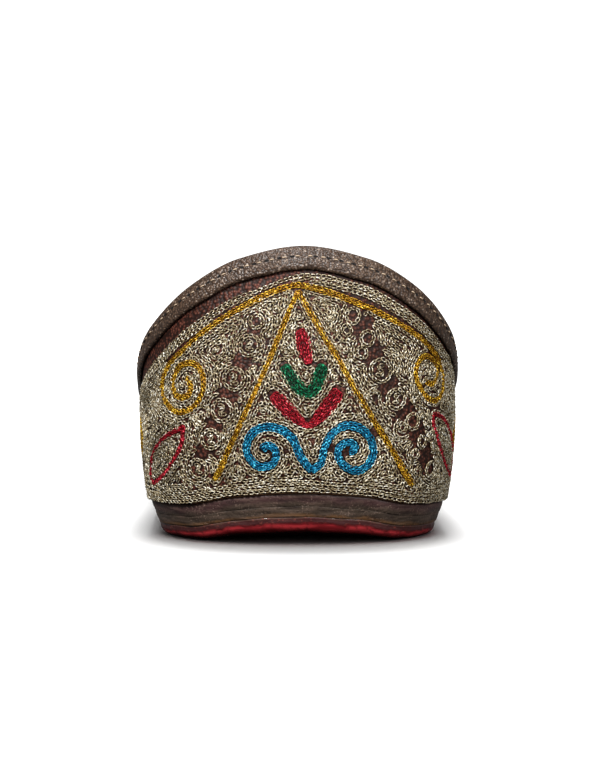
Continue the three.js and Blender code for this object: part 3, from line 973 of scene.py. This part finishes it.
# The heel's motif, in mm from the shoe's centre line and above the floor, as it looks from behind.
motif = {
    "arch": {
        "left": [(-1.0, 56.7), (-6.1, 55.1), (-10.8, 52.8), (-15.5, 50.2), (-20.1, 47.0), (-24.3, 43.2),
                 (-27.3, 40.2), (-28.9, 37.2), (-29.2, 34.0), (-28.2, 31.0), (-25.5, 29.3), (-22.2, 31.0),
                 (-20.6, 34.8), (-21.2, 38.4), (-23.5, 40.0), (-25.9, 38.8), (-27.0, 36.0), (-26.7, 33.5),
                 (-25.3, 32.4), (-23.8, 33.1), (-23.2, 34.9), (-24.2, 36.8)],
        "right": [(-1.0, 56.7), (2.4, 56.1), (7.1, 54.7), (11.3, 53.2), (16, 51.1), (20.6, 48.7),
                  (24.6, 46.0), (27.6, 43.4), (29.6, 40.6), (30.5, 37.6), (30.5, 34.0), (29.2, 31.8),
                  (27.2, 32.3), (25.5, 34.8), (24.7, 37.4), (25.2, 40.2), (27.0, 41.4), (28.9, 40.0),
                  (29.4, 37.6), (28.5, 35.4), (26.9, 35.9)],
    },
    "triangle": {"apex": (-0.6, 55.3), "left": (-18.4, 14.8), "right": (24.2, 13.6)},
    # colour, places along its middle, and half its width at each
    "arms": [
        ("red", [(-0.3, 47.0), (0.1, 46.0), (0.7, 43.4), (1.3, 41.2), (1.8, 39.9)],
         [0.5, 1.45, 1.6, 1.3, 0.4]),
        ("green", [(-3.6, 39.4), (-3.0, 38.5), (-0.8, 35.0), (1.6, 33.1), (3.3, 35.0), (4.4, 38.2),
                   (4.7, 39.5)],
         [0.5, 1.3, 1.4, 0.75, 1.4, 1.45, 0.5]),
        ("red", [(-6.0, 33.2), (-5.2, 32.4), (-2.2, 29.4), (1.7, 26.4), (4.8, 29.3), (7.4, 32.8),
                 (8.1, 33.9)],
         [0.7, 1.5, 1.5, 0.2, 1.6, 1.75, 0.8]),
    ],
    "blue": {
        "left": [(2.4, 16.7), (0, 19.8), (-1.7, 23.6), (-4.3, 25.6), (-7.3, 26.2), (-10.2, 25),
                 (-11.6, 22.2), (-11, 19.4), (-8.9, 17.6), (-6.6, 17.8), (-5.1, 19.8), (-5.6, 21.6), (-7.2, 22.3),
                 (-8.2, 21.4)],
        "right": [(2.4, 16.7), (4.4, 18.4), (5, 21.2), (6.2, 24), (8, 25.8), (10.4, 26.5), (12.9, 25.8),
                  (14.9, 23.8), (15.6, 21), (14.7, 18.3), (12.7, 16.8), (10.4, 17.1), (8.4, 18.9),
                  (8.0, 21.2), (9.5, 22.7), (11.5, 22.5), (11.7, 21.1), (10.6, 20.8)],
    },
    "leaves": {
        "left": [(-24.8, 26.3), (-28.4, 24.3), (-30.7, 21.6), (-31.5, 18.4), (-31.2, 14.2), (-29.0, 16.0),
                 (-26.9, 19.2), (-25.3, 22.6), (-24.8, 26.3)],
        "right": [(32.3, 15.4), (31.0, 18.8), (29.6, 23.0), (28.4, 28.6), (30.6, 28.0), (32.1, 25.2),
                  (32.9, 21.4), (32.3, 15.4)],
    },
    # across, height, radius
    "rings": {
        "left": [(-9.4, 48.8, 1.6), (-10.9, 43.7, 2.3), (-14.3, 36.5, 2.4), (-16.8, 29.8, 2.4),
                 (-19.2, 23.6, 2.2), (-21.9, 17.2, 2.2)],
        "right": [(11.2, 50.0, 1.7), (9.8, 46.9, 1.2), (14.4, 45.2, 1.7), (13.0, 42.2, 1.3),
                  (17.1, 38.3, 2.5), (20.6, 32.2, 2.2), (24.1, 27.3, 1.8), (21.9, 26.0, 1.1),
                  (26.2, 22.9, 1.4), (24.6, 20.3, 1.2), (28.0, 17.0, 1.7)],
    },
}


class Panel:
    # collects strokes on one chart, then fills the ground between them with rows of chain
    def __init__(self, surface, low, high):
        step = 0.5       # millimetres between the chart's places
        self.surface = surface
        self.xs = np.arange(low[0], high[0] + step, step)
        self.zs = np.arange(low[1], high[1] + step, step)
        self.grid = np.stack(np.meshgrid(self.xs, self.zs, indexing="ij"), -1)
        self.near = np.full(self.grid.shape[:2], 99.0)
        self.open = np.zeros(self.grid.shape[:2], bool)

    def distance(self, line, reach=9.0):
        points = resample(line, max(4, len(line)))
        best = np.full(self.grid.shape[:2], 99.0)
        corner, step = self.grid[0, 0], self.xs[1] - self.xs[0]
        for chunk in np.array_split(points, max(1, len(points) // 10)):
            low = np.maximum((chunk.min(0) - reach - corner) / step, 0).astype(int)
            high = np.maximum((chunk.max(0) + reach - corner) / step + 1, 0).astype(int)
            window = (slice(low[0], high[0]), slice(low[1], high[1]))
            if self.grid[window].size:
                away = np.linalg.norm(self.grid[window][:, :, None] - chunk, axis=3).min(2)
                best[window] = np.minimum(best[window], away)
        return best

    def block(self, line, halfWidth):
        # ground that a stroke takes up
        self.near = np.minimum(self.near, self.distance(line) - halfWidth)

    def sew(self, colour, line, wobble):
        stitchRow(colour, handDrawn(line, wobble), self.surface)

    def stroke(self, colour, line, halfWidth=0.4, rows=1, wobble=0.06, pitch=0.65):
        for k in range(rows):
            self.sew(colour, beside(line, (k - (rows - 1) / 2) * pitch), wobble)
        self.block(line, max(halfWidth, rows * pitch / 2))

    def arm(self, colour, places, halfWidths):
        # a filled shape: rows that spread and close with its width
        steps = np.linalg.norm(np.diff(np.asarray(places, float), axis=0), axis=1)
        share = np.concatenate([[0], np.cumsum(steps)]) / steps.sum()
        picks, stride, span = 60, 6, 8
        line = resample(smoothLine(places, 0.3), picks)
        half = np.interp(np.linspace(0, 1, picks), share, halfWidths)
        for k in (-0.8, -0.28, 0.28, 0.8):
            stitchRow(colour, beside(line, (k * half)[:, None]), self.surface)
        for k in range(0, picks, stride):
            self.block(line[k:k + span], half[k:k + span].max() * 0.9)

    def keepOpen(self, line, halfWidth):
        self.open |= self.distance(line) < halfWidth

    def fill(self, allowed):
        firstRow, pitch, rows, bare, rowReach = 0.42, 0.92, 9, 0.66, 1.5
        covered = self.near - 0.35
        for level in [firstRow + pitch * k for k in range(rows)]:
            for line in levelLines(self.near, self.xs, self.zs, level):
                for part in keptParts(line, self, allowed & ~self.open):
                    drawn = handDrawn(part, 0.13)
                    stitchRow("silver", drawn, self.surface)
                    covered = np.minimum(covered, self.distance(drawn, rowReach))
        # short runs where the rows leave bare ground
        slopeX, slopeZ = np.gradient(self.near)
        spots = np.argwhere(allowed & ~self.open & (covered > bare))
        for i, j in rng.permutation(spots):
            if covered[i, j] < bare:
                continue
            way = np.array((-slopeZ[i, j], slopeX[i, j])) + rng.normal(0, 0.25, 2)
            way /= np.linalg.norm(way)
            steps = np.linspace(-1.5, 1.5, 9)[:, None]
            bend = (steps ** 2 - 1) * rng.normal(0, 0.12) * np.array((-way[1], way[0]))
            run = self.grid[i, j] + steps * way + bend
            stitchRow("silver", run, self.surface)
            covered = np.minimum(covered, self.distance(run, rowReach))


def levelLines(field, xs, zs, level):
    # the lines along which a field has one value
    links = {}
    places = {}

    def crossing(i, j, di, dj):
        a, b = field[i, j] - level, field[i + di, j + dj] - level
        if (a > 0) == (b > 0):
            return None
        share = a / (a - b)
        key = (i, j, di)
        places[key] = (xs[i] + share * di * (xs[1] - xs[0]), zs[j] + share * dj * (zs[1] - zs[0]))
        return key

    over = field > level
    mixed = ~((over[:-1, :-1] == over[1:, :-1]) & (over[:-1, :-1] == over[:-1, 1:])
              & (over[:-1, :-1] == over[1:, 1:]))
    for i, j in np.argwhere(mixed):
        sides = [(i, j, 1, 0), (i + 1, j, 0, 1), (i, j + 1, 1, 0), (i, j, 0, 1)]
        keys = [k for k in [crossing(*side) for side in sides] if k]
        for a, b in zip(keys[::2], keys[1::2]):
            links.setdefault(a, []).append(b)
            links.setdefault(b, []).append(a)
    lines = []
    while links:
        start = next((k for k in links if len(links[k]) == 1), next(iter(links)))
        line, here = [start], start
        while links.get(here):
            following = links[here].pop()
            links[following].remove(here)
            if not links[here]:
                del links[here]
            line.append(following)
            here = following
        links.pop(here, None)
        if len(line) > 5:
            lines.append(np.array([places[k] for k in line]))
    return lines


def keptParts(line, panel, allowed):
    step = panel.xs[1] - panel.xs[0]
    i = np.clip(np.round((line[:, 0] - panel.xs[0]) / step).astype(int), 0, len(panel.xs) - 1)
    j = np.clip(np.round((line[:, 1] - panel.zs[0]) / step).astype(int), 0, len(panel.zs) - 1)
    good = allowed[i, j]
    parts, start = [], None
    for k, flag in enumerate(np.append(good, False)):
        if flag and start is None:
            start = k
        if not flag and start is not None:
            if k - start > 4:
                part = line[start:k]
                smooth = part.copy()
                smooth[1:-1] = (part[:-2] + 2 * part[1:-1] + part[2:]) / 4
                parts.append(smooth)
            start = None
    return parts


def ringWithS(panel, centre, radius, turn):
    # a silver ring on bare ground, the larger ones with a small S inside
    circle = scroll(centre, 90 + turn * 40, 1.03 * turn, radius, radius)
    panel.sew("silver", circle, 0.05)
    panel.block(circle, 0.75)
    if radius > 1.9:
        r = radius * 0.4
        curl = np.array([(r, r * 0.9), (0, r * 1.25), (-r * 0.8, r * 0.55), (0, 0), (r * 0.8, -r * 0.55),
                         (0, -r * 1.25), (-r, -r * 0.9)]) * (turn, 1)
        stitchRow("silver", smoothLine(curl + centre, 0.3), panel.surface)
    panel.open |= np.linalg.norm(panel.grid - centre, axis=2) < radius + 0.1


def counterPanel():
    reach = counter["seam"]
    panel = Panel(counterSurface, (-reach - 4, 4), (reach + 4, 66))
    toChart = seenFromBehind
    # gold arch and scrolls, and the triangle inside
    for name in ("left", "right"):
        panel.stroke("gold", toChart(smoothLine(motif["arch"][name])), rows=2)
    corner = motif["triangle"]
    for name, spread in (("left", 0.2), ("right", 0.3)):
        line = resample(np.array([corner["apex"], corner[name]]), 90)
        bow = np.sin(np.linspace(0, math.pi, 90))[:, None] * (0.35 if name == "left" else -0.2, 0)
        for shift in (-spread, spread):
            panel.sew("gold", toChart(beside(line + bow, shift)), 0.05)
        panel.block(toChart(line + bow), 0.6)
        panel.stroke("gold", toChart(line[-10:] + (0.7 if name == "left" else -0.7, 0.1)), rows=1)
    # plant motif
    for colour, points, widths in motif["arms"]:
        panel.arm(colour, toChart(points), widths)
    for name in ("left", "right"):
        panel.stroke("blue", toChart(smoothLine(motif["blue"][name])), rows=3, halfWidth=1.0, pitch=0.52)
        leaf = toChart(smoothLine(motif["leaves"][name]))
        for shift in (-0.17, 0.17):
            panel.sew("red", beside(leaf, shift), 0.06)
        panel.block(leaf, 0.5)
    # rings beside the triangle
    for name, bare in (("left", 2.1), ("right", 2.3)):
        turn = -1 if name == "left" else 1
        spine = toChart(smoothLine([(x, z) for x, z, radius in motif["rings"][name] if radius > 1.6]))
        panel.keepOpen(spine, bare)
        for x, z, radius in motif["rings"][name]:
            ringWithS(panel, toChart([(x, z)])[0], radius, turn)
    # the sides, round the corner: scrolls with rings between them
    for sign in (-1, 1):
        for colour, x, z in counter["scrolls"]:
            panel.stroke(colour, scroll((sign * x, z), 90, 1.9 * sign, 4.6, 1.0), rows=2)
        for x, z in counter["rings"]:
            ringWithS(panel, np.array((sign * x, z + 3.1)), 2.4, sign)
            ringWithS(panel, np.array((sign * x, z - 3.0)), 1.9, -sign)
    # rows along the top edge, under the binding and its margin of leather
    across = np.linspace(-reach, reach, 600)
    s = placeOnCounter(across)
    topline = np.stack([across, rimAt(s)], 1)
    margin = np.interp(across, counter["marginPlaces"], counter["margins"])
    firstRow = beside(topline, -(binding["outside"] + margin + 0.45)[:, None])
    inside = np.abs(panel.grid[..., 0]) < reach
    for k in range(3):
        row = resample(beside(firstRow, -counter["topRowPitch"] * k), 700)
        for part in keptParts(row, panel, inside & (panel.near > 0.2)):
            panel.sew("silver", part, 0.05)
    panel.block(firstRow, 2.2)
    # rows along the bottom edge and the seam
    seatLine = np.stack([across, seatAt(s)], 1)
    for lift in counter["seatRows"]:
        panel.sew("silver", seatLine + (0, lift), 0.04)
    panel.block(seatLine, 2.0)
    for sign in (-1, 1):
        for step in (0, counter["seamPitch"]):
            x = sign * (reach - step)
            there = placeOnCounter(np.array(x))
            low = float(seatAt(there)) + 2.2
            high = float(rimAt(there)) - binding["outside"] - 3.0
            seam = np.stack([np.full(30, x), np.linspace(low, high, 30)], 1)
            stitchRow("silver", seam, panel.surface)
        panel.block(seam, 0.5)
    gridS = placeOnCounter(panel.grid[..., 0])
    ground = (panel.near > 0) & (np.abs(panel.grid[..., 0]) < reach - 1.2)
    ground &= panel.grid[..., 1] > seatAt(gridS) + 1.9
    topAllowed = np.interp(panel.grid[..., 0], across, rimAt(s) - binding["outside"] - margin)
    ground &= panel.grid[..., 1] < topAllowed - 2.0
    panel.fill(ground)


def stitchCounts():
    return {name: sum(len(row[0]) for row in rows) for name, rows in stitched.items()}


counterPanel()
print("counter embroidered:", stitchCounts())


vamp = {
    "start": 139.5,          # along the foot
    "edgeGap": 1.9,          # from the binding to the first row
    "edgePitch": 0.9,
    "borderRows": (0.7, 1.6),  # in from the bottom edge
    "goldInset": 7.5,
    "goldPicks": 12,
    "curl": 4.4,
    "seamRows": (139.1, 140.0),
    "fillFrom": 140.9,
    "motifFoot": (2.6, 14),  # of the heel's motif, which is laid at the base
    "base": 170.0,
    "scale": 0.92,
    "rayFoot": (21.5, 168.5),
    "rayTop": (0, 214),
    "leafAt": (34, 178),
    "ringFoot": (24.5, 173.5),
    "ringRun": (17.5, 40),
    "rings": 6,
}


def vampMotif(points):
    points = np.asarray(points, float)
    return (points - vamp["motifFoot"]) * vamp["scale"] + (0, vamp["base"])


def bothHalves(half):
    # a line over the whole shoe, from its left half's start, mirrored across the middle
    return np.concatenate([half * (-1, 1), half[::-1][1:]])


def vampPanel():
    panel = Panel(vampSurface, (-72, 136), (72, 262))
    gridX, gridY = panel.grid[..., 0], panel.grid[..., 1]
    # the throat's edge and the feather line on this chart
    side = np.linspace(placeAlong(vamp["start"]), throat, 70)
    shares, lengths = arcLengths(side)
    cut = cutAt(side)
    edgeReach = np.array([np.interp(-c, -shares, row) for c, row in zip(cut, lengths)])
    edgeY = side - heelEnd + last["heelCentre"]
    half = np.stack([edgeReach, edgeY], 1)
    edge = bothHalves(half)
    for k in range(3):
        away = binding["outside"] + vamp["edgeGap"] + vamp["edgePitch"] * k
        panel.sew("silver", beside(resample(edge, 200), away), 0.05)
    panel.block(edge, binding["outside"] + 4.4)
    places = np.linspace(placeAlong(vamp["start"]), toeEnd, 180)
    axisY, angle = axisAt(places)
    reach = arcLengths(places)[1][:, -1]

    def inFromEdge(inset):
        return np.stack([(reach - inset) * np.sin(angle), axisY - (reach - inset) * np.cos(angle)], 1)

    for inset in vamp["borderRows"]:
        panel.sew("silver", bothHalves(inFromEdge(inset)), 0.04)
    panel.block(bothHalves(inFromEdge(vamp["borderRows"][-1])), 0.9)
    goldLine = inFromEdge(vamp["goldInset"])
    goldLine = smoothLine(goldLine[np.linspace(22, len(goldLine) - 1, vamp["goldPicks"]).astype(int)])
    for sign in (-1, 1):
        start = goldLine[0] * (sign, 1)
        middle = (start[0] - sign * vamp["curl"], start[1])
        curl = scroll(middle, 0 if sign > 0 else 180, -1.9 * sign, vamp["curl"], 1.0)
        panel.stroke("gold", np.concatenate([curl[::-1], goldLine * (sign, 1)]), rows=2)
    for sign in (-1, 1):
        for y in vamp["seamRows"]:
            top = half[0, 0] + binding["outside"] + vamp["edgeGap"]
            seam = np.stack([np.linspace(top, reach[0] - 0.5, 30) * sign, np.full(30, y)], 1)
            panel.sew("silver", seam, 0.05)
    # the plant motif again, growing towards the toe
    for colour, points, widths in motif["arms"]:
        panel.arm(colour, vampMotif(points), widths)
    for name in ("left", "right"):
        spiral = vampMotif(smoothLine(motif["blue"][name]))
        panel.stroke("blue", spiral, rows=3, halfWidth=1.0, pitch=0.52)
        sign = -1 if name == "left" else 1
        ray = np.array([np.multiply(vamp["rayFoot"], (sign, 1)), vamp["rayTop"]])
        panel.stroke("gold", resample(ray, 90), rows=2, pitch=0.5)
        leaf = np.array([(0, 6), (-2.6, 2.5), (-2.9, -2), (0, -6.5), (2.3, -2.5), (2.2, 2), (0, 6)])
        turned = leaf @ np.array([[0.9, 0.43 * sign], [-0.43 * sign, 0.9]])
        outline = smoothLine(turned + np.multiply(vamp["leafAt"], (sign, 1)), 0.2)
        panel.stroke("red", outline, rows=1, halfWidth=0.45, wobble=0)
        (footX, footY), (runX, runY) = vamp["ringFoot"], vamp["ringRun"]
        for share in [k / (vamp["rings"] - 1) for k in range(vamp["rings"])]:
            centre = np.array((sign * (footX - runX * share), footY + runY * share))
            ringWithS(panel, centre, 2.3, sign)
    inside = panel.near > 0
    past, beyond = gridY > last["toeCentre"], gridY - last["toeCentre"]
    toeS = toeStart + last["toeRadius"] * np.arctan2(beyond, np.abs(gridX))
    gridS = np.where(past, toeS, placeAlong(gridY))
    gridReach = np.where(past, np.hypot(gridX, beyond), np.abs(gridX))
    inside &= gridReach < np.interp(gridS, places, reach) - 2.2
    edgeLimit = np.interp(np.abs(gridX), half[::-1, 0], half[::-1, 1])
    inside &= gridY > edgeLimit + 2
    inside &= gridY > vamp["fillFrom"]
    panel.fill(inside)


vampPanel()
print("vamp embroidered:", stitchCounts())


def buildThreads():
    limit = 190000       # triangles in one piece
    for colour in chain:
        points, quads, caps, count = linkMesh(colour)
        pieces = max(1, math.ceil(count * linkTriangles / limit))
        for k, chunk in enumerate(np.array_split(np.arange(count), pieces)):
            part = points[chunk[0] * linkCorners:(chunk[-1] + 1) * linkCorners] * mm
            name = f"{colour.capitalize()}_chain_{k + 1}"
            repeatedPiece(name, part, linkCorners, quads, caps, threads[colour])
        print(colour, "links:", count)


buildThreads()


def buildRunningStitch():
    # a light thread that dips through holes along the middle of the binding; the holes are dark discs of painted
    # shade
    side = np.linspace(0, throat, 2400)
    depth = binding["stitchDepth"]
    offset = binding["gap"] + binding["thickness"]
    line = bindingPoint(side, depth, offset)
    length = lengthAlong(line)
    count = int(length[-1] / binding["pitch"])
    start = (np.arange(count) + 0.5) * length[-1] / count
    corners = np.linspace(0, 2 * math.pi, 6, endpoint=False)

    def around(middle, reach):
        # five places about the middle of each stitch or hole, and their directions
        at = np.interp(middle[:, None] + np.linspace(-reach, reach, 5), length, side).ravel()
        centre = bindingPoint(at, depth, offset)
        out = (bindingPoint(at, depth, offset + 0.3) - centre) / 0.3
        centre, out = centre.reshape(-1, 5, 3), out.reshape(-1, 5, 3)
        along = np.gradient(centre, axis=1)
        along /= np.linalg.norm(along, axis=2, keepdims=True)
        return centre, out, along, np.cross(out, along)

    def mirrored(shape):
        return toScene(np.concatenate([shape.reshape(-1, 3), shape.reshape(-1, 3) * (-1, 1, 1)]))

    centre, out, along, across = around(start, binding["threadReach"])
    rise = np.array([-0.1, 0.1, 0.16, 0.1, -0.1])[:, None, None]
    radius = binding["threadRadius"] * np.array([0.5, 0.9, 1.0, 0.9, 0.5])[:, None, None]
    turn, lift = np.cos(corners)[:, None], np.sin(corners)[:, None]
    rings = (centre[:, :, None] + out[:, :, None] * (rise + radius * 0.8 * lift)
             + across[:, :, None] * (radius * turn))
    quads = np.array(gridFaces(0, 5, 6, closedColumns=True))
    caps = np.array([(0, 1, 2), (0, 2, 3), (0, 3, 4), (0, 4, 5)])
    lightThread = plainFinish("Running thread", dye(165, 146, 124), 0.5)
    ends = np.concatenate([caps, caps[:, ::-1] + 24])
    repeatedPiece("Running_stitch", mirrored(rings), 30, quads, ends, lightThread)
    centre, out, along, across = around(start + binding["holeShift"], binding["holeReach"])
    middle = centre[:, 2][:, None, None]
    high = np.array([0.14, -0.2])[:, None, None]
    size = np.array([1.0, 0.8])[:, None, None]
    out, along, across = [way[:, 2][:, None, None] for way in (out, along, across)]
    holeLength, holeWidth = binding["hole"]
    discs = (middle + out * high + along * (holeLength * size * turn)
             + across * (holeWidth * size * lift))
    sides = np.array([(k, (k + 1) % 6, (k + 1) % 6 + 6, k + 6) for k in range(6)])
    # painted shade: a near-black disc where each hole is
    holeShade = plainFinish("Stitch hole shade", dye(7, 4, 3), 0.9)
    ends = np.concatenate([caps, caps[:, ::-1] + 6])
    repeatedPiece("Stitch_hole_shade", mirrored(discs), 12, sides, ends, holeShade)


buildRunningStitch()
print("running stitch made")


studio = {
    "floorSize": 6.0,
    "floorBounce": 0.17,  # the floor's tone for the light it throws back, and as it is seen
    "floorSeen": 0.92,
    "backdrop": 1.1,      # the white seen behind the shoe
    "skyLight": 0.15,
    # name, strength, width and tilt in degrees; the wide one keeps the shadow near the sole
    "suns": [("Overhead", 2.0, 18, -17.5), ("Floor wash", 2.4, 55, -8)],
    # name, place, size, watts: front left, front right
    "lamps": [("Left", (-0.3, -0.8, 0.6), 0.16, 12.8), ("Right", (0.5, -0.85, 0.4), 0.3, 5.8)],
    "lampAim": (0, -0.09, 0.03),
}


def buildStage():
    bpy.ops.mesh.primitive_plane_add(size=studio["floorSize"], location=(0, 0, 0))
    floor = bpy.context.object
    floor.name = "Floor"
    paper = Finish("Paper floor", 0.9, specular=0.1)
    direct = paper.node("ShaderNodeLightPath", {}, {}, "Is Camera Ray")
    tone = paper.mix(direct, (*[studio["floorBounce"]] * 3, 1), (*[studio["floorSeen"]] * 3, 1))
    floor.data.materials.append(paper.feed(tone))
    world = bpy.data.worlds.new("Studio")
    bpy.context.scene.world = world
    world.use_nodes = True
    nodes, links = world.node_tree.nodes, world.node_tree.links
    backdrop = nodes.new("ShaderNodeBackground")
    blend = nodes.new("ShaderNodeMixShader")
    rays = nodes.new("ShaderNodeLightPath")
    backdrop.inputs["Strength"].default_value = studio["backdrop"]
    backdrop.inputs["Color"].default_value = (1, 1, 1, 1)
    nodes["Background"].inputs["Color"].default_value = (1, 1, 1, 1)
    nodes["Background"].inputs["Strength"].default_value = studio["skyLight"]
    links.new(rays.outputs["Is Camera Ray"], blend.inputs[0])
    links.new(nodes["Background"].outputs[0], blend.inputs[1])
    links.new(backdrop.outputs[0], blend.inputs[2])
    links.new(blend.outputs[0], nodes["World Output"].inputs[0])
    floorOnly = bpy.data.collections.new("Lit by the floor wash")
    floorOnly.objects.link(floor)
    for name, energy, width, tilt in studio["suns"]:
        sun = bpy.data.lights.new(name, "SUN")
        sun.energy = energy
        sun.angle = math.radians(width)
        holder = bpy.data.objects.new(name, sun)
        holder.rotation_euler = (math.radians(tilt), 0, 0)
        if name == "Floor wash":
            holder.light_linking.receiver_collection = floorOnly
        bpy.context.scene.collection.objects.link(holder)
    shoeOnly = bpy.data.collections.new("Lit by the front lamps")
    shoeOnly.objects.link(floor)
    shoeOnly.collection_objects[0].light_linking.link_state = "EXCLUDE"
    for name, place, size, watts in studio["lamps"]:
        lamp = bpy.data.lights.new(name, "AREA")
        lamp.size = size
        lamp.energy = watts
        holder = bpy.data.objects.new(name, lamp)
        holder.location = place
        holder.light_linking.receiver_collection = shoeOnly
        aim = Vector(studio["lampAim"]) - Vector(place)
        holder.rotation_euler = aim.to_track_quat("-Z", "Y").to_euler()
        bpy.context.scene.collection.objects.link(holder)
    bpy.context.scene.view_settings.view_transform = "Standard"
    bpy.context.scene.view_settings.look = "Medium High Contrast"


def buildCamera():
    view = {"distance": 0.56, "elevation": 3.0, "azimuth": -1.0, "lens": 122.2, "aimHeight": 0.0354}
    aim = Vector((0, cadBox[0].y, view["aimHeight"]))
    rise, turn = math.radians(view["elevation"]), math.radians(view["azimuth"])
    away = Vector((math.sin(turn) * math.cos(rise), -math.cos(turn) * math.cos(rise), math.sin(rise)))
    camera = bpy.data.objects.new("Camera", bpy.data.cameras.new("Camera"))
    camera.location = aim + away * view["distance"]
    camera.rotation_euler = (-away).to_track_quat("-Z", "Y").to_euler()
    camera.data.lens = view["lens"]
    bpy.context.scene.collection.objects.link(camera)
    bpy.context.scene.camera = camera


buildStage()
buildCamera()
print("stage and camera set")
